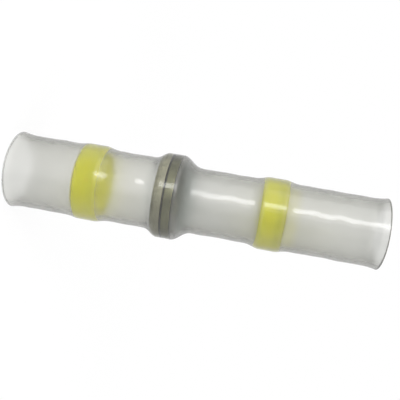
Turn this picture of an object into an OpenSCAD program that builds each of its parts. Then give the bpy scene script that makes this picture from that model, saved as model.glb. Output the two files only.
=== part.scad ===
// Heat-shrink solder splice for two wires, standing on its wider end.
// A milky sleeve is shrunk in its middle over a wound solder ring and two hot-melt seal rings.
// The wires enter from both ends along the Z axis and meet inside the solder ring.

/* [Sleeve] */
// Length of the sleeve from rim to rim
sleeve_len = 40; // [36:0.5:60]
// Wall of the sleeve
sleeve_wall = 0.5; // [0.3:0.05:0.8]
// Bore of the lower wire entry
lower_bore = 7; // [6.4:0.05:7.3]
// Bore between the lower seal and the solder ring
waist_bore = 6.8; // [6.4:0.05:7.3]
// Bore between the solder ring and the upper seal
neck_bore = 6.1; // [5.9:0.05:6.7]
// Bore of the upper wire entry
upper_bore = 6.25; // [5.9:0.05:6.7]
// How far the lower rim flares out, on the radius
lower_flare = 0.2; // [0.05:0.01:0.4]
// How far the upper rim flares out, on the radius
upper_flare = 0.18; // [0.05:0.01:0.4]
// Length of the flare at a rim
flare_len = 1.6; // [0.8:0.1:3]
// Length over which the sleeve falls from a seal ring to its bore
seal_drape = 2; // [1.2:0.1:3]
// Length over which the sleeve falls from the solder ring to the waist below it
waist_drape = 1.8; // [1.2:0.1:3]
// Length over which the sleeve falls from the solder ring to the neck above it
neck_drape = 2.5; // [1.5:0.1:3.5]

/* [Solder ring] */
// Height of the middle of the solder ring above the lower rim
solder_z = 17.06; // [16:0.02:19]
// Outside diameter of the solder ring
solder_od = 8.2; // [7.8:0.05:9]
// Width of the flattened solder wire, along the axis
wire_w = 1; // [0.7:0.02:1.2]
// Thickness of the flattened solder wire, across the axis
wire_t = 0.95; // [0.6:0.01:1]
// Rounding of the wire's edges
wire_edge = 0.15; // [0.05:0.01:0.2]
// How far the sleeve's grip has pressed in the lower turn's open edge
edge_pinch = 0.3; // [0.25:0.01:0.4]
// Gap between the two turns
turn_gap = 0.04; // [0.02:0.01:0.2]
// Angle over which the wire crosses from one turn to the next
crossover = 34; // [30:1:80]

/* [Seal rings] */
// Length of a seal ring
seal_len = 2.72; // [2.2:0.02:3.5]
// Wall of a seal ring
seal_wall = 0.45; // [0.42:0.01:0.6]
// Depth of a seal ring's soft shoulder, across the axis
seal_edge = 0.2; // [0.15:0.01:0.2]
// Length of a seal ring's soft shoulder, along the axis
seal_shoulder = 0.6; // [0.2:0.05:0.7]
// Height of the middle of the lower seal above the lower rim
lower_seal_z = 8.6; // [7:0.05:10]
// Outside diameter of the lower seal
lower_seal_od = 7.34; // [7.3:0.01:7.8]
// Height of the middle of the upper seal above the lower rim
upper_seal_z = 28.38; // [25:0.02:30]
// Outside diameter of the upper seal
upper_seal_od = 6.76; // [6.7:0.01:7.2]

/* [Fit] */
// Gap left between a ring and the sleeve that is shrunk on to it
shrink_gap = 0.02; // [0.01:0.01:0.05]

/* [Hidden] */
$fn = 96;

// Steps along one flare or drape, steps round one edge, and the coil's step in degrees
blend_steps = 9;
seal_edge_steps = 4;
wire_edge_steps = 2;
coil_step = 6;

turns = 2;
turn_pitch = wire_w + turn_gap;
solder_len = turns * wire_w + (turns - 1) * turn_gap;
// The crossover is on one side, and the wire's two cut ends stop this many degrees short of it
crossover_mid = 30;
cut_end_gap = 4;

// Share of a ring's lift that the wall keeps, from 1 at the ring to 0 at the end of its drape
function drape(t) = pow(1 - t * t, 4);
// Share of a rim's flare that the wall keeps, from 1 at the rim to 0 where the wall is straight
function flare(t) = pow(1 - t, 2);
function reversed(list) = [for (i = [len(list) - 1:-1:0]) list[i]];

// What shapes the sleeve, from the lower rim to the upper one. Each rim or ring has the start and
// end height of the wall's grip, the sleeve's inner radius there, and the blend's length below and
// above it. The grip leaves a ring's soft shoulders bare, and the pressed half of the lower turn
function rim(z, bore, rise) = [z, z, bore / 2 + rise, flare_len, flare_len];
function ring(mid, len, bare_below, bare_above, od, below, above) =
    [mid - len / 2 + bare_below, mid + len / 2 - bare_above, od / 2 + shrink_gap, below, above];
shapers = [
    rim(0, lower_bore, lower_flare),
    ring(lower_seal_z, seal_len, seal_shoulder, seal_shoulder, lower_seal_od, seal_drape, seal_drape),
    ring(solder_z, solder_len, wire_w / 2, 0, solder_od, waist_drape, neck_drape),
    ring(upper_seal_z, seal_len, seal_shoulder, seal_shoulder, upper_seal_od, seal_drape, seal_drape),
    rim(sleeve_len, upper_bore, upper_flare)
];
// The straight bore between each two of them
bores = [lower_bore, waist_bore, neck_bore, upper_bore];

// Points of the inner wall from height z towards the straight bore, dir being 1 up or -1 down
function blend(z, dir, length, edge_r, bore_r, is_rim) =
    [for (i = [0:blend_steps])
        let (t = i / blend_steps, kept = is_rim ? flare(t) : drape(t))
        [bore_r + (edge_r - bore_r) * kept, z + dir * t * length]];
// Points of the inner wall between shaper i and the next one
function stretch(i) =
    let (low = shapers[i], high = shapers[i + 1], half = (high[0] - low[1]) / 2)
    concat(
        blend(low[1], 1, min(low[4], half), low[2], bores[i] / 2, i == 0),
        reversed(blend(high[0], -1, min(high[3], half), high[2], bores[i] / 2, i == len(bores) - 1)));
inner_wall = [for (i = [0:len(bores) - 1]) each stretch(i)];
outer_wall = [for (p = inner_wall) [p[0] + sleeve_wall, p[1]]];

// Points of a ring's section about its centre, w across and h along the axis, with corners that
// are quarters of an ellipse
function soft_section(w, h, rx, ry, steps) =
    [for (corner = [0:3], i = [0:steps])
        let (a = 90 * (corner + i / steps),
             side_x = corner == 0 || corner == 3 ? 1 : -1,
             side_y = corner < 2 ? 1 : -1)
        [side_x * (w / 2 - rx) + rx * cos(a), side_y * (h / 2 - ry) + ry * sin(a)]];
function smooth(t) = t * t * (3 - 2 * t);

module heat_shrink_sleeve() {
    color("Gainsboro", 0.6)
        rotate_extrude()
            polygon(concat(outer_wall, reversed(inner_wall)));
}

// Two flat turns side by side: the wire steps up by one pitch in the crossover. Below the middle of
// the lower turn the section bends in, by the pinch at its edge
module solder_ring() {
    mid_r = (solder_od - wire_t) / 2;
    low_z = solder_z - (turns - 1) * turn_pitch / 2;
    edges = soft_section(wire_t, wire_w, wire_edge, wire_edge, wire_edge_steps);
    upper_half = [for (p = edges) if (p[1] > 0) p];
    lower_half = [for (p = edges) if (p[1] < 0) p];
    section = concat([[wire_t / 2, 0]], upper_half, [[-wire_t / 2, 0]], lower_half);
    n = len(section);
    cut_back = crossover / 2 + cut_end_gap;
    first = crossover_mid + cut_back;
    last = crossover_mid + 360 * turns - cut_back;
    steps = ceil((last - first) / coil_step);
    points = [for (i = [0:steps])
        let (a = first + (last - first) * i / steps,
             crossed = smooth(max(0, min(1, (a - crossover_mid - 360) / crossover + 0.5))),
             z = low_z + turn_pitch * crossed)
        each [for (p = section)
            let (bend = edge_pinch * (1 - crossed) * pow(min(0, p[1]) / (wire_w / 2), 2),
                 r = mid_r + p[0] - bend)
            [r * cos(a), r * sin(a), z + p[1]]]];
    sides = [for (i = [0:steps - 1], k = [0:n - 1])
        let (a = i * n + k, b = i * n + (k + 1) % n)
        each [[a, a + n, b], [b, a + n, b + n]]];
    // Each cut end is a fan of triangles about its middle
    middles = [
        [mid_r * cos(first), mid_r * sin(first), low_z],
        [mid_r * cos(last), mid_r * sin(last), low_z + turn_pitch]
    ];
    first_mid = len(points);
    first_cut = [for (k = [0:n - 1]) [k, (k + 1) % n, first_mid]];
    last_cut = [for (k = [0:n - 1]) [steps * n + (k + 1) % n, steps * n + k, first_mid + 1]];
    color("DarkGray")
        polyhedron(concat(points, middles), concat(sides, first_cut, last_cut));
}

module seal_ring(mid, od) {
    color("Gold")
        rotate_extrude()
            translate([(od - seal_wall) / 2, mid])
                polygon(soft_section(seal_wall, seal_len, seal_edge, seal_shoulder, seal_edge_steps));
}

module lower_seal_ring() {
    seal_ring(lower_seal_z, lower_seal_od);
}

module upper_seal_ring() {
    seal_ring(upper_seal_z, upper_seal_od);
}

heat_shrink_sleeve();
solder_ring();
lower_seal_ring();
upper_seal_ring();
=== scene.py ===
import bpy
import numpy as np
from mathutils import Matrix, Vector


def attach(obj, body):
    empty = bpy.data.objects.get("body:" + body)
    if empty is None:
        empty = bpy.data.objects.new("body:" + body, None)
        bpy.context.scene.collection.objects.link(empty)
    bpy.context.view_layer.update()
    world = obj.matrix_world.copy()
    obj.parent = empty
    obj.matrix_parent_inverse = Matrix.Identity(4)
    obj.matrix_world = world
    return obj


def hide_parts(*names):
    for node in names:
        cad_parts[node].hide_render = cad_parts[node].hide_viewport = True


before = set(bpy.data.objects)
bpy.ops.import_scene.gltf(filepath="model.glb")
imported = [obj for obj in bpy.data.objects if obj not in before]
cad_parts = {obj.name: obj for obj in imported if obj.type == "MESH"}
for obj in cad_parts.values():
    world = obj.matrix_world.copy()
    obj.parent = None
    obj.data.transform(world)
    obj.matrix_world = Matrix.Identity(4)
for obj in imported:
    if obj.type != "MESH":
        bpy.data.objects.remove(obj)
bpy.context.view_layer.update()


# Solder ring: a flat wire of soft, low-melting solder, wound in two turns that lie side by side.
# The wire steps from the first turn to the second on one side, where its two cut ends stop short,
# and the sleeve's grip has pressed in the lower turn's open edge.
MM = 0.001
CRISP = np.radians(60)
SOLDER_Z = 17.06
SOLDER_RADIUS = 4.1
WIRE_THICK = 0.95
WIRE_EDGE = 0.15
WIRE_EDGE_STEPS = 6
EDGE_PINCH = 0.3
# The wire is a little wider than the pitch of its turns, so that they touch
WIRE_WIDTH = 1.044
TURN_PITCH = 1.04
CROSSOVER = np.radians(34)
CROSSOVER_MID = np.radians(30)
CUT_BACK = np.radians(21)
COIL_POINTS = 340
# Depth of the dents, and the share, turns and phase of each wave in them
DENT = 0.004
DENT_WAVES = ((0.5, 5, 0.4), (0.3, 11, 1.9), (0.2, 23, 4.4))
# Colours of the first turn and of the second: where bright, where dark and in the painted shade on the
# side away from the panel light; and of the grime and painted shade along the wire's edges
BRIGHT_SOLDER = (0.58, 0.565, 0.42, 1), (0.20, 0.20, 0.12, 1)
DARK_SOLDER = (0.43, 0.42, 0.31, 1), (0.14, 0.14, 0.08, 1)
SHADED_SOLDER = (0.21, 0.205, 0.15, 1), (0.13, 0.13, 0.08, 1)
GRIME_AND_EDGE_SHADE = (0.018, 0.015, 0.010, 1)
# Share by which the grime and painted shade are lighter on the edge that the sleeve pressed in
PRESSED_EDGE_LIGHTER = 0.4


def smooth_step(t):
    """0 up to t = 0, 1 from t = 1, and t * t * (3 - 2 t) between them."""
    t = np.clip(t, 0, 1)
    return t * t * (3 - 2 * t)


def soft_section(across, along, edge_across, edge_along, steps):
    """Outline of a bar's section, anticlockwise: a rectangle about its centre whose corners are
    quarters of an ellipse with those two half axes, and whose sides are divided into steps too. The
    third list is 0 on the two round faces and 1 on the two end faces, and rises round a corner as
    the sine of its angle."""
    share = np.linspace(0, 1, steps + 1)
    corner = np.arange(4)[:, None]
    angle = (corner + share) * np.pi / 2
    side_r = np.where((corner == 0) | (corner == 3), 1, -1)
    side_z = np.where(corner < 2, 1, -1)
    arcs = np.stack([side_r * (across / 2 - edge_across) + edge_across * np.cos(angle),
                     side_z * (along / 2 - edge_along) + edge_along * np.sin(angle)])
    start = arcs[:, :, -1:]
    end = np.roll(arcs[:, :, :1], -1, axis=1)
    outline = np.concatenate([arcs, start + (end - start) * share[1:-1]], axis=2)
    on_end = np.where(corner % 2 == 0, 1, 0) + 0 * share[1:-1]
    turned = np.concatenate([np.abs(np.sin(angle)), on_end], axis=1)
    return outline[0].ravel(), outline[1].ravel(), turned.ravel()


def grid_faces(rows, columns, ring):
    """Quads between neighbouring points of a grid numbered row by row. Rows close on the first one,
    and so do columns where the piece is a full ring."""
    i = np.arange(rows)[:, None]
    j = np.arange(columns if ring else columns - 1)[None, :]
    up = (i + 1) % rows
    on = (j + 1) % columns
    corners = (i * columns + j, i * columns + on, up * columns + on, up * columns + j)
    return np.stack(corners, axis=-1).reshape(-1, 4).tolist()


def new_piece(name, r, z, angle, faces):
    """A mesh object at the origin from grids of radius, height and angle, given in millimetres and
    radians; edges bent by more than the crisp angle stay sharp."""
    points = np.stack(np.broadcast_arrays(r * np.cos(angle), r * np.sin(angle), z), axis=-1)
    mesh = bpy.data.meshes.new(name)
    mesh.from_pydata((points.reshape(-1, 3) * MM).tolist(), [], faces)
    mesh.shade_smooth()
    mesh.set_sharp_from_angle(angle=CRISP)
    mesh.validate()
    piece = bpy.data.objects.new(name, mesh)
    bpy.context.collection.objects.link(piece)
    return piece


def paint(piece, name, values):
    """Stores a number for each point of a piece, from a full grid of values or one for each row."""
    layer = piece.data.attributes.new(name, "FLOAT", "POINT")
    values = np.ravel(values).astype(np.float32)
    layer.data.foreach_set("value", np.repeat(values, len(layer.data) // len(values)))


def waves(angle, terms):
    """Sum of gentle sine waves round the axis, each with its size, turns and phase."""
    return sum(size * np.sin(turns * angle + phase) for size, turns, phase in terms)


class Wire:
    """A socket in a material's node tree. Sums, differences and products with sockets or numbers
    add Math nodes, and node() adds any other node."""

    def __init__(self, tree, socket=None):
        self.tree = tree
        self.socket = socket

    def node(self, kind, settings=(), sockets=(), out=0):
        """Adds a node, sets its settings, then its sockets to values or wires; gives one output."""
        made = self.tree.nodes.new(kind)
        for name, value in dict(settings).items():
            setattr(made, name, value)
        for name, value in dict(sockets).items():
            if isinstance(value, Wire):
                self.tree.links.new(value.socket, made.inputs[name])
            else:
                made.inputs[name].default_value = value
        return Wire(self.tree, made.outputs[out] if made.outputs else None)

    def math(self, operation, first, second, clamp=False):
        """A Math node on two sockets or numbers, its result kept from 0 to 1 where clamp is set."""
        settings = {"operation": operation, "use_clamp": clamp}
        return self.node("ShaderNodeMath", settings, {0: first, 1: second})

    def __add__(self, other):
        return self.math("ADD", self, other)

    def __radd__(self, other):
        return self.math("ADD", other, self)

    def __sub__(self, other):
        return self.math("SUBTRACT", self, other)

    def __rsub__(self, other):
        return self.math("SUBTRACT", other, self)

    def __mul__(self, other):
        return self.math("MULTIPLY", self, other)

    def __rmul__(self, other):
        return self.math("MULTIPLY", other, self)

    def mix(self, first, second):
        """Colour that goes from first to second as this value goes from 0 to 1."""
        settings = {"data_type": "RGBA", "clamp_factor": True}
        return self.node("ShaderNodeMix", settings, {0: self, 6: first, 7: second}, out=2)

    def band(self, low, high):
        """0 below low, 1 above high, and a smooth step between them."""
        settings = {"interpolation_type": "SMOOTHSTEP"}
        return self.node("ShaderNodeMapRange", settings, {0: self, 1: low, 2: high})

    def between(self, start, full, fade, end):
        """0 up to start, 1 from full to fade, 0 from end, and smooth steps between them."""
        return self.band(start, full) * (1 - self.band(fade, end))


def new_material(name):
    """An empty node material and the wire that starts its nodes."""
    material = bpy.data.materials.new(name)
    material.use_nodes = True
    material.node_tree.nodes.clear()
    return material, Wire(material.node_tree)


def painted(wire, name):
    """The number that paint() stored under that name."""
    return wire.node("ShaderNodeAttribute", {"attribute_name": name}, out="Fac")


def object_place(wire):
    """Place on the piece, in metres."""
    return wire.node("ShaderNodeTexCoord", out="Object")


def object_axis(wire, axis):
    """Place on the piece along one axis, in millimetres."""
    return wire.node("ShaderNodeSeparateXYZ", (), {0: object_place(wire)}, out=axis) * (1 / MM)


def noise(wire, scale, detail, rough, squeeze=(1, 1, 1)):
    """Value of a noise field whose grains are 1 / scale metres, divided along each axis by its number
    in squeeze."""
    place = wire.node("ShaderNodeMapping", (), {"Vector": object_place(wire), "Scale": squeeze})
    return wire.node("ShaderNodeTexNoise", (), {
        "Vector": place, "Scale": scale, "Detail": detail, "Roughness": rough})


section_r, section_z, section_edge = (
    part[:, None]
    for part in soft_section(WIRE_THICK, WIRE_WIDTH, WIRE_EDGE, WIRE_EDGE, WIRE_EDGE_STEPS))
coil = np.linspace(CROSSOVER_MID + CUT_BACK, CROSSOVER_MID + 4 * np.pi - CUT_BACK, COIL_POINTS)
climb = smooth_step((coil - CROSSOVER_MID - 2 * np.pi) / CROSSOVER + 0.5)
dents = DENT * (waves(coil, DENT_WAVES) - 1)
pinch = EDGE_PINCH * (1 - climb) * (np.minimum(section_z, 0) / (WIRE_WIDTH / 2)) ** 2
coil_r = SOLDER_RADIUS - WIRE_THICK / 2 + section_r - pinch + dents
coil_z = SOLDER_Z + TURN_PITCH * (climb - 0.5) + section_z
starts = np.arange(len(section_r)) * len(coil)
coil_faces = grid_faces(len(section_r), len(coil), ring=False)
coil_faces += [starts.tolist(), (starts[::-1] + len(coil) - 1).tolist()]
solder_ring = new_piece("solder_ring_wire", coil_r, coil_z, coil, coil_faces)
# The wire's corners and side faces, which take the grime and painted shade, with less on the edge that
# the sleeve pressed in
paint(solder_ring, "edge", section_edge * (1 - PRESSED_EDGE_LIGHTER * (section_z < 0) * (1 - climb)))
paint(solder_ring, "second_turn", 0 * section_edge + climb)

solder, wire = new_material("dull_solder")
edge = painted(wire, "edge")
second_turn = painted(wire, "second_turn")
drawn = noise(wire, scale=2500, detail=3, rough=0.6, squeeze=(1, 1, 6))
blotch = noise(wire, scale=900, detail=3, rough=0.6)
pits = noise(wire, scale=6000, detail=2, rough=0.6)
bright = second_turn.mix(*BRIGHT_SOLDER)
dark = second_turn.mix(*DARK_SOLDER)
shaded = second_turn.mix(*SHADED_SOLDER)
metal = blotch.band(0.35, 0.7).mix(dark, bright)
# Painted shade: the wire is darker towards +X, the side away from the panel light
metal = (0.5 * object_axis(wire, "X").band(-1.5, 2)).mix(metal, shaded)
# Grime and painted shade: the wire's rounded corners are painted near black, its flat side faces less,
# where shade falls at the edges and in the groove
grime_and_edge_shade = (edge + 0.3 * blotch).band(0.32, 0.72) * (1 - 0.75 * edge.band(0.93, 0.99))
relief = drawn + (2.0 - 1.2 * second_turn) * blotch + (6.0 - 5.4 * second_turn) * pits
scratches = wire.node("ShaderNodeBump", (), {
    "Strength": 0.5, "Distance": 0.03 * MM, "Height": relief})
solder_surface = wire.node("ShaderNodeBsdfPrincipled", (), {
    "Base Color": grime_and_edge_shade.mix(metal, GRIME_AND_EDGE_SHADE),
    "Metallic": 0.9 - 0.8 * grime_and_edge_shade,
    "Roughness": 0.42 + 0.25 * blotch - 0.16 * second_turn + 0.3 * grime_and_edge_shade,
    "Normal": scratches})
wire.node("ShaderNodeOutputMaterial", (), {"Surface": solder_surface})
solder_ring.data.materials.append(solder)
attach(solder_ring, "root")
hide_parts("solder_ring")


# Seal rings: two short rings of yellow hot-melt adhesive, cut from an extruded tube, one for each
# wire. The heat that shrinks the sleeve softens their shoulders, and they stick to its wall.
SEAL_LENGTH = 2.72
SEAL_WALL = 0.45
SEAL_EDGE = 0.2
SEAL_SHOULDER = 0.6
SHOULDER_STEPS = 8
ROUND = np.linspace(0, 2 * np.pi, 160, endpoint=False)
# Each seal: height of its middle, outer radius, how much darker its upper half is, and how much paler
# its lower and upper ends are painted, on its outer face and on its bore
SEALS = {
    "lower_seal_ring": (8.6, 3.67, 0.10, (0.3, 0.18), (0.0, 0.3)),
    "upper_seal_ring": (28.38, 3.38, 0.26, (0.5, 0.4), (0.9, 0.5)),
}
# Size and turns of the waves in a seal's ends, and how many times the seal's height makes each one's
# phase, so that the two seals differ
END_WAVES = ((0.02, 2, 1), (0.012, 5, 2))
# How much painted shade darkens both cut ends and the upper shoulder, and how far from the ends that
# shoulder is darkened, the outer face is painted paler and the bore is painted paler
END_DULL = 0.08
SHOULDER_DULL = 0.16
DULL_REACH = 1.1
PALE_REACH = 0.6
BORE_REACH = 1.6
YELLOW = (0.95, 0.925, 0.012, 1)
LIGHT_YELLOW = (0.98, 0.965, 0.025, 1)
WARM_YELLOW = (0.96, 0.87, 0.02, 1)
DULL_YELLOW = (0.50, 0.485, 0.09, 1)
PALE_YELLOW = (0.84, 0.83, 0.42, 1)

melt, wire = new_material("yellow_hot_melt")
cloud = noise(wire, scale=700, detail=3, rough=0.55)
flow = noise(wire, scale=1800, detail=2, rough=0.5, squeeze=(1, 1, 0.5))
yellow = cloud.band(0.3, 0.7).mix(YELLOW, LIGHT_YELLOW)
yellow = flow.band(0.62, 0.78).mix(yellow, WARM_YELLOW)
# Painted shade on the cut ends and the upper shoulder, and the upper half darker
yellow = painted(wire, "dull").mix(yellow, DULL_YELLOW)
skin = wire.node("ShaderNodeBump", (), {"Strength": 0.3, "Distance": 0.04 * MM, "Height": cloud})
melt_surface = wire.node("ShaderNodeBsdfPrincipled", (), {
    # Painted light: the ends are painted paler
    "Base Color": painted(wire, "pale").mix(yellow, PALE_YELLOW),
    "Roughness": 0.38 + 0.2 * flow,
    "IOR": 1.48,
    "Specular IOR Level": 0.12,
    "Normal": skin})
wire.node("ShaderNodeOutputMaterial", (), {"Surface": melt_surface})

for node, (seal_z, seal_radius, upper_dull, face_pale, bore_pale) in SEALS.items():
    ring_r, ring_z, end_share = soft_section(
        SEAL_WALL, SEAL_LENGTH, SEAL_EDGE, SEAL_SHOULDER, SHOULDER_STEPS)
    wander = np.abs(waves(ROUND, [(size, turns, times * seal_z) for size, turns, times in END_WAVES]))
    to_end = np.clip(ring_z[:, None] / (SEAL_LENGTH / 2), -1, 1)
    seal = new_piece(
        node.replace("_ring", "_hot_melt"),
        seal_radius - SEAL_WALL / 2 + ring_r[:, None],
        seal_z + ring_z[:, None] - wander * to_end ** 3,
        ROUND, grid_faces(len(ring_r), len(ROUND), ring=True))
    inset = SEAL_LENGTH / 2 - np.abs(ring_z)
    # Painted shade on the cut ends and the upper shoulder, and the upper half darker
    painted_darkening = (upper_dull * smooth_step(ring_z + 0.2)
                + END_DULL * smooth_step((end_share - 0.7) / 0.25)
                + SHOULDER_DULL * (ring_z > 0) * smooth_step(1 - inset / DULL_REACH))
    # Painted light: the ends are painted paler, which lifts the shade on their shoulders and softens
    # their edges
    on_face = np.where(ring_z < 0, *face_pale) * smooth_step(1 - inset / PALE_REACH)
    in_bore = np.where(ring_z < 0, *bore_pale) * smooth_step(1 - inset / BORE_REACH)
    paint(seal, "dull", painted_darkening * (ring_r > 0))
    paint(seal, "pale", np.where(ring_r > 0, on_face, in_bore))
    seal.data.materials.append(melt)
    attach(seal, "root")
    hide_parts(node)


# Sleeve: a milky, half clear tube of heat-shrink plastic, extruded, cut to length and shrunk in its
# middle until it grips the three rings. Its wall drapes off each ring, and its two mouths flare.
SLEEVE_LENGTH = 40.0
SLEEVE_WALL = 0.5
RIM_EDGE = 0.05
RIM_POINTS = 5
LOWER_FLARE = 0.2
UPPER_FLARE = 0.18
FLARE_LENGTH = 1.6
SEAL_DRAPE = 2.0
WAIST_DRAPE = 1.8
NECK_DRAPE = 2.5
# How far the grip reaches from the middle of a seal, and down and up from the middle of the solder
SEAL_GRIP = SEAL_LENGTH / 2 - SEAL_SHOULDER
SOLDER_GRIP = TURN_PITCH / 2, 1.02
# Gap between a ring and the plain wall, how far in the wall is drawn where it has wet a seal, and how
# far inside the solder's face it lies where it has wet that
RING_GAP = 0.02
SEAL_SINK = 0.05
SOLDER_SINK = 0.012
# Depth and width of the groove between the solder's turns that the wall follows
GROOVE = 0.09
# The wall lets go of the solder this far inside its ends, and holds it whole after the next length
WET_INSET = 0.02
WET_FADE = 0.08
# The waves start this far from a ring or rim and are whole after the next length
WAVES_FROM = 0.6
WAVES_GROW = 2.5
# Size, turns round the axis, length along it and phase of each wave in the free wall
WALL_WAVES = ((0.014, 1, 9.0, 0.3), (0.012, 2, 5.3, 2.1), (0.012, -3, 3.7, 4.0),
              (0.010, 5, 2.9, 5.2), (0.006, -8, 2.1, 1.0))
# Heights along the wall, and the number of rows of points from the height before to each
WALL_ROWS = ((0, 0), (1.6, 16), (6.9, 18), (10.3, 42), (15.6, 21), (18.5, 72), (21, 21), (26.7, 19),
             (30.1, 42), (38.4, 28), (SLEEVE_LENGTH, 16))
# Inner radius of the straight stretches: lower mouth, waist, neck and upper mouth
STRAIGHTS = (3.5, 3.4, 3.05, 3.125)
lower_z, lower_radius, *_ = SEALS["lower_seal_ring"]
upper_z, upper_radius, *_ = SEALS["upper_seal_ring"]
# Each rim or ring: start and end height, the sleeve's inner radius there, blend below and above
SHAPERS = (
    (0.0, 0.0, STRAIGHTS[0] + LOWER_FLARE, FLARE_LENGTH, FLARE_LENGTH),
    (lower_z - SEAL_GRIP, lower_z + SEAL_GRIP, lower_radius + RING_GAP, SEAL_DRAPE, SEAL_DRAPE),
    (SOLDER_Z - SOLDER_GRIP[0], SOLDER_Z + SOLDER_GRIP[1], SOLDER_RADIUS + RING_GAP,
     WAIST_DRAPE, NECK_DRAPE),
    (upper_z - SEAL_GRIP, upper_z + SEAL_GRIP, upper_radius + RING_GAP, SEAL_DRAPE, SEAL_DRAPE),
    (SLEEVE_LENGTH, SLEEVE_LENGTH, STRAIGHTS[-1] + UPPER_FLARE, FLARE_LENGTH, FLARE_LENGTH),
)
# Distance from the axis, across the sleeve, that the material counts as 1
SIDE_REACH = 4.0
# Colours of the clear wall, in the light and in the shade, and of the painted shade by the upper rim
# and along the outline
LIT_WALL = (0.985, 0.985, 0.975, 1)
SHADED_WALL = (0.74, 0.745, 0.73, 1)
RIM_SHADE_GREY = (0.56, 0.565, 0.555, 1)
OUTLINE_SHADE_GREY = (0.45, 0.455, 0.45, 1)
# Colours on the inner face: yellow melt by the seals, also used for a painted yellow glow from them,
# and the grey of painted shade by the solder
MELT_AND_GLOW_YELLOW = (0.88, 0.85, 0.45, 1)
PAINTED_SHADE_GREY = (0.32, 0.36, 0.34, 1)
# Colours of the milky haze, thin, thick and over a seal, of the cut ends and of the plastic's body
THIN_MILK = (0.23, 0.23, 0.225, 1)
THICK_MILK = (0.33, 0.33, 0.32, 1)
SEAL_MILK = (0.42, 0.42, 0.38, 1)
CUT_GREY = (0.70, 0.70, 0.68, 1)
CUT_WHITE = (0.86, 0.86, 0.84, 1)
BODY_GREY = (0.9, 0.9, 0.885, 1)
BODY_DENSITY = 2900


def inner_radius(z):
    """Inner radius of the sleeve at height z: on each straight stretch its bore, plus what the ring
    or rim on either side lifts it by, which falls as (1 - t * t) ** 4 off a ring and as
    (1 - t) ** 2 off a rim, t being the share of the blend's length."""
    r = np.zeros_like(z)
    last = len(STRAIGHTS) - 1
    for i, bore in enumerate(STRAIGHTS):
        _, low_end, low_r, _, low_blend = SHAPERS[i]
        high_start, _, high_r, high_blend, _ = SHAPERS[i + 1]
        half = (high_start - low_end) / 2
        t_low = np.clip((z - low_end) / min(low_blend, half), 0, 1)
        t_high = np.clip((high_start - z) / min(high_blend, half), 0, 1)
        kept_low = (1 - t_low) ** 2 if i == 0 else (1 - t_low ** 2) ** 4
        kept_high = (1 - t_high) ** 2 if i == last else (1 - t_high ** 2) ** 4
        wall = bore + (low_r - bore) * kept_low + (high_r - bore) * kept_high
        r = np.where((z >= low_end) & (z <= high_start), wall, r)
    for start, end, land, _, _ in SHAPERS[1:-1]:
        r = np.where((z >= start) & (z <= end), land, r)
    return r


def free_wall(z):
    """1 where the wall stands clear of the rings and rims, 0 on them, with a smooth step between."""
    gaps = [np.maximum(start - z, z - end) for start, end, _, _, _ in SHAPERS]
    return smooth_step((np.min(gaps, axis=0) - WAVES_FROM) / WAVES_GROW)


def gripped_radius(z):
    """Inner radius where the soft wall has wet the rings: the plain inner radius, but just below the
    ring's own face where the wall touches it. On a seal it is sunk by the same depth along the whole
    ring and leaves through its ends; on the solder it follows the corners and the groove."""
    r = inner_radius(z)
    for middle, *_ in SEALS.values():
        r = r - SEAL_SINK * smooth_step(2 - np.abs(z - middle) / (SEAL_LENGTH / 2))
    low_turn = SOLDER_Z - TURN_PITCH / 2
    half = (TURN_PITCH + WIRE_WIDTH) / 2
    off = np.abs(z - SOLDER_Z)
    rounded = np.clip(off - half + WIRE_EDGE, 0, WIRE_EDGE)
    pressed = EDGE_PINCH * (np.minimum(z - low_turn, 0) / (WIRE_WIDTH / 2)) ** 2
    corner = WIRE_EDGE - np.sqrt(WIRE_EDGE ** 2 - rounded ** 2)
    groove = GROOVE * np.exp(-(off / GROOVE) ** 2)
    solder_face = SOLDER_RADIUS - 2 * DENT - pressed - corner - groove
    wet = smooth_step((half - WET_INSET - off) / WET_FADE)
    return r + wet * (solder_face - SOLDER_SINK - r)


wall_z = np.concatenate([np.linspace(low, high, rows, endpoint=False)
                         for (low, _), (high, rows) in zip(WALL_ROWS, WALL_ROWS[1:])])[1:]
rim_angle = np.linspace(0, np.pi / 2, RIM_POINTS)
rim_in = RIM_EDGE * (1 - np.sin(rim_angle))
rim_z = RIM_EDGE * (1 - np.cos(rim_angle))
profile_z = np.concatenate([rim_z, wall_z, SLEEVE_LENGTH - rim_z[::-1]])
shaved = np.concatenate([rim_in, 0 * wall_z, rim_in[::-1]])
outer_r = inner_radius(profile_z) + SLEEVE_WALL - shaved
inner_r = gripped_radius(profile_z) + shaved
loop_r = np.concatenate([outer_r, inner_r[::-1]])[:, None]
loop_z = np.concatenate([profile_z, profile_z[::-1]])[:, None]
ripple = waves(ROUND, [(size, turns, phase + 2 * np.pi * loop_z / length)
                       for size, turns, length, phase in WALL_WAVES])
sleeve = new_piece("heat_shrink_sleeve_wall", loop_r + ripple * free_wall(loop_z), loop_z, ROUND,
                   grid_faces(len(loop_r), len(ROUND), ring=True))
on_cut = shaved > 0
paint(sleeve, "inner_face", np.repeat([0, 1], len(profile_z)))
paint(sleeve, "cut_end", np.concatenate([on_cut, on_cut[::-1]]))

milky, wire = new_material("milky_heat_shrink")
height = object_axis(wire, "Z")
side = object_axis(wire, "X") * (1 / SIDE_REACH)
inner_face = painted(wire, "inner_face")
cut_end = painted(wire, "cut_end")
turned_away = wire.node("ShaderNodeLayerWeight", (), {"Blend": 0.5}, out="Facing")
haze = noise(wire, scale=260, detail=3, rough=0.5)
lines = noise(wire, scale=2600, detail=2, rough=0.5, squeeze=(1, 1, 0.04))
peel = noise(wire, scale=1100, detail=3, rough=0.6, squeeze=(1, 1, 0.8))
wrinkle = noise(wire, scale=900, detail=2, rough=0.5, squeeze=(0.25, 0.25, 3))

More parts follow.
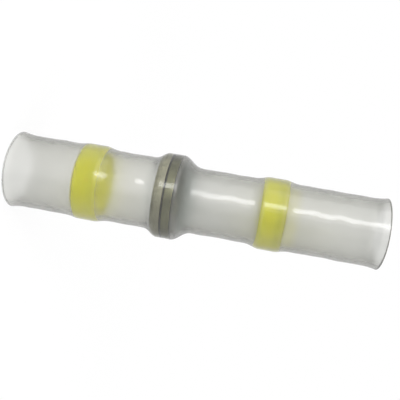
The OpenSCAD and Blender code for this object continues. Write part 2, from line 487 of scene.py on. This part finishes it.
# Where along the sleeve and on which side of it its roughness, haze and colour change, in millimetres
# of height; the side mask and most of the colour's bands carry painted light and shade
# The +X side, away from the panel light, which takes painted shade
shade_side = side.band(-0.05, 0.27)
lower_mouth = height.between(0.3, 0.9, 1.4, 3.0)
# Painted light: the wall is lightened just above the lower seal, less on the shaded side
clear = height.between(9.7, 10.1, 11.4, 12.4) * (1 - 0.7 * shade_side)
mid_length = height.between(10.5, 12.5, 31, 34)
over_solder = height.between(15.6, 16.3, 17.6, 18.4)
near_neck = height.between(17.9, 18.6, 20.5, 23.5)
# Painted shade in a band by the upper rim
rim_shade = height.band(38.3, 38.9) * (1 - 0.6 * height.band(39.1, 39.5))
on_seal = height.between(6.6, 7.2, 10.0, 10.6) + height.between(26.4, 27.0, 29.8, 30.4)
melted = height.between(9.5, 10.0, 10.3, 11.8) + height.between(29.2, 29.7, 30.2, 31.6)
glow = height.between(3, 8, 10, 16.5) + height.between(22, 27, 30, 38)

# Tint of the clear wall: a random tone with painted shade towards the +X side, which faces away from
# the panel, and more of it there along the middle, darker above the solder and at the lower mouth, and
# painted light just above the lower seal; painted shade by the upper rim and along the outline; yellow
# melt by the seals with a painted yellow glow from them; and painted shade on the inner face above and
# below the solder
shade = (0.69 + 0.4 * haze - 0.10 * side - 0.22 * shade_side - 0.25 * height.band(18, 24)
         - 0.2 * mid_length * side.band(-0.15, 0.2) - 0.2 * lower_mouth + 0.35 * clear)
tint = shade.mix(SHADED_WALL, LIT_WALL)
tint = (0.45 * rim_shade).mix(tint, RIM_SHADE_GREY)
# Painted shade along the outline, less of it on the +X side
at_outline = 0.65 * turned_away.band(0.4, 0.7) * (1 - inner_face) * (1 - 0.8 * shade_side)
tint = at_outline.mix(tint, OUTLINE_SHADE_GREY)
# Yellow melt on the inner face just above each seal, and a painted yellow glow of the seals' light
# around them, more on the +X side
melt_and_glow = inner_face * (melted * (0.3 + 0.5 * peel) + glow * (0.06 + 0.10 * shade_side))
tint = melt_and_glow.mix(tint, MELT_AND_GLOW_YELLOW)
# Painted shade: a grey sheet on the inner face above the solder, starting later on the +X side, and a
# faint one below it
shade_above_solder = (height - 0.4 * shade_side).band(18.0, 18.5) * (1.06 - height.band(18.7, 20.8))
shade_above_solder = shade_above_solder * (0.8 + 0.4 * peel) * (1 - height.band(21, 24)) * (0.96 + 0.1 * side)
shade_below_solder = height.between(14.6, 15.8, 16.0, 16.2) * (0.1 + 0.4 * peel)
tint = (inner_face * (shade_above_solder + shade_below_solder)).mix(tint, PAINTED_SHADE_GREY)
wall_bump = wire.node("ShaderNodeBump", (), {
    "Strength": 0.2,
    "Distance": 0.06 * MM,
    "Height": (1 - inner_face) * (0.2 * lines + 1.3 * peel + near_neck * wrinkle)})
clear_surface = wire.node("ShaderNodeBsdfPrincipled", (), {
    "Base Color": tint,
    "Roughness": 0.10 + 0.08 * lines + 0.07 * near_neck + 0.17 * inner_face,
    "IOR": 1.5,
    "Transmission Weight": 0.975,
    "Normal": wall_bump})

# A dull, milky haze veils the wall towards its outline and a little over the seals
milk = haze.mix(THIN_MILK, THICK_MILK)
hazy_surface = wire.node("ShaderNodeBsdfPrincipled", (), {
    "Base Color": (0.7 * on_seal).mix(milk, SEAL_MILK),
    "Roughness": 0.45 + 0.2 * peel,
    "Specular IOR Level": 0.1})
hazed = ((0.5 - 0.2 * on_seal) * turned_away.band(0.35, 0.95)
         + 0.10 * on_seal * turned_away.band(0.06, 0.36))
hazed = hazed * (1 - inner_face) * (1 - 0.9 * over_solder)
veiled_surface = wire.node("ShaderNodeMixShader", (), {0: hazed, 1: clear_surface, 2: hazy_surface})
cut_surface = wire.node("ShaderNodeBsdfPrincipled", (), {
    "Base Color": haze.mix(CUT_GREY, CUT_WHITE),
    "Roughness": 0.5 + 0.2 * peel,
    "IOR": 1.5})
milky_surface = wire.node("ShaderNodeMixShader", (), {
    0: 0.5 * cut_end, 1: veiled_surface, 2: cut_surface})
milky_body = wire.node("ShaderNodeVolumeAbsorption", (), {"Color": BODY_GREY, "Density": BODY_DENSITY})
wire.node("ShaderNodeOutputMaterial", (), {"Surface": milky_surface, "Volume": milky_body})
sleeve.data.materials.append(milky)
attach(sleeve, "root")
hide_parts("heat_shrink_sleeve")


# Studio: a pale floor under the lower rim, which fades to plain white away from it, and a white
# surround. A soft panel stands on the side that the picture is lit from, a soft fill on the other,
# and a narrow strip draws the streak on the sleeve.
FLOOR_HALF = 3000
FADE_FROM = 20
FADE_TO = 120
# Share of plain white in the floor near the object, and the light that the surround sheds
FLOOR_WHITE = 0.88
SURROUND_LIGHT = 0.82
PAPER = (0.97, 0.97, 0.97, 1)
WHITE = (1, 1, 1, 1)


def shown_white(wire):
    """1 for rays that show the surround itself: from the camera, in a gloss, or through the sleeve."""
    seen, glossy, through = (wire.node("ShaderNodeLightPath", out=name)
                             for name in ("Is Camera Ray", "Is Glossy Ray", "Is Transmission Ray"))
    return wire.math("ADD", seen + glossy, through, clamp=True)


def soft_light(name, place, target, width, height, radiance):
    """An area light of that brightness, turned from its place to a target, its height upright."""
    lamp = bpy.data.lights.new(name, "AREA")
    lamp.shape = "RECTANGLE"
    lamp.size = width * MM
    lamp.size_y = height * MM
    lamp.energy = radiance * np.pi * width * height * MM * MM
    light = bpy.data.objects.new(name, lamp)
    bpy.context.collection.objects.link(light)
    backward = (Vector(place) - Vector(target)).normalized()
    sideways = Vector((0, 0, 1)).cross(backward).normalized()
    turn = Matrix((sideways, backward.cross(sideways), backward)).transposed().to_4x4()
    light.matrix_world = Matrix.Translation(Vector(place) * MM) @ turn
    light.visible_camera = False
    return light


floor_corners = np.array([(-1, -1, 0), (1, -1, 0), (1, 1, 0), (-1, 1, 0)]) * FLOOR_HALF * MM
floor_mesh = bpy.data.meshes.new("floor")
floor_mesh.from_pydata(floor_corners.tolist(), [], [(0, 1, 2, 3)])
floor = bpy.data.objects.new("floor", floor_mesh)
bpy.context.collection.objects.link(floor)

pale_floor, wire = new_material("pale_floor")
paper = wire.node("ShaderNodeBsdfDiffuse", (), {"Color": PAPER})
white = wire.node("ShaderNodeEmission", (), {"Color": WHITE, "Strength": 1.0})
distance = wire.node("ShaderNodeVectorMath", {"operation": "LENGTH"}, {0: object_place(wire)},
                     out="Value")
fade = FLOOR_WHITE + (1 - FLOOR_WHITE) * distance.band(FADE_FROM * MM, FADE_TO * MM)
floor_surface = wire.node("ShaderNodeMixShader", (), {0: fade * shown_white(wire), 1: paper, 2: white})
wire.node("ShaderNodeOutputMaterial", (), {"Surface": floor_surface})
floor_mesh.materials.append(pale_floor)

world = bpy.data.worlds.new("white_surround")
bpy.context.scene.world = world
world.use_nodes = True
world.node_tree.nodes.clear()
wire = Wire(world.node_tree)
surround = wire.node("ShaderNodeBackground", (), {
    "Color": WHITE, "Strength": SURROUND_LIGHT + (1 - SURROUND_LIGHT) * shown_white(wire)})
wire.node("ShaderNodeOutputWorld", (), {"Surface": surround})

soft_light("panel", place=(-89, -95, 66), target=(0, 0, 66), width=196, height=120, radiance=1.3)
fill = soft_light("fill", place=(150, -60, 80), target=(0, 0, 20), width=160, height=160, radiance=1.6)
fill.visible_glossy = False
soft_light("strip", place=(-30.5, -63, 32), target=(0, 0, 32), width=17, height=60, radiance=6.7)


# Camera: level with the sleeve's upper half and rolled, so that the sleeve lies across the picture
# and falls 10 degrees towards its upper end, which leans 5 degrees towards the camera.
AIM = Vector((-0.16, 0, 20.51))
DISTANCE = 59.68
TILT = np.radians(5)
ROLL = np.radians(10.16)
SENSOR = 36
FOCAL_LENGTH = 49.65
NEAREST = 5
to_camera = Vector((0, -np.cos(TILT), np.sin(TILT)))
along = (Vector((0, 0, 1)) - to_camera * to_camera.z).normalized()
across = to_camera.cross(along)
right = along * np.cos(ROLL) + across * np.sin(ROLL)
top = across * np.cos(ROLL) - along * np.sin(ROLL)
lens = bpy.data.cameras.new("camera")
lens.sensor_width = SENSOR
lens.lens = FOCAL_LENGTH
lens.clip_start = NEAREST * MM
camera = bpy.data.objects.new("camera", lens)
bpy.context.collection.objects.link(camera)
camera_turn = Matrix((right, top, to_camera)).transposed().to_4x4()
camera.matrix_world = Matrix.Translation((AIM + to_camera * DISTANCE) * MM) @ camera_turn
bpy.context.scene.camera = camera
bpy.context.scene.view_settings.view_transform = "Standard"
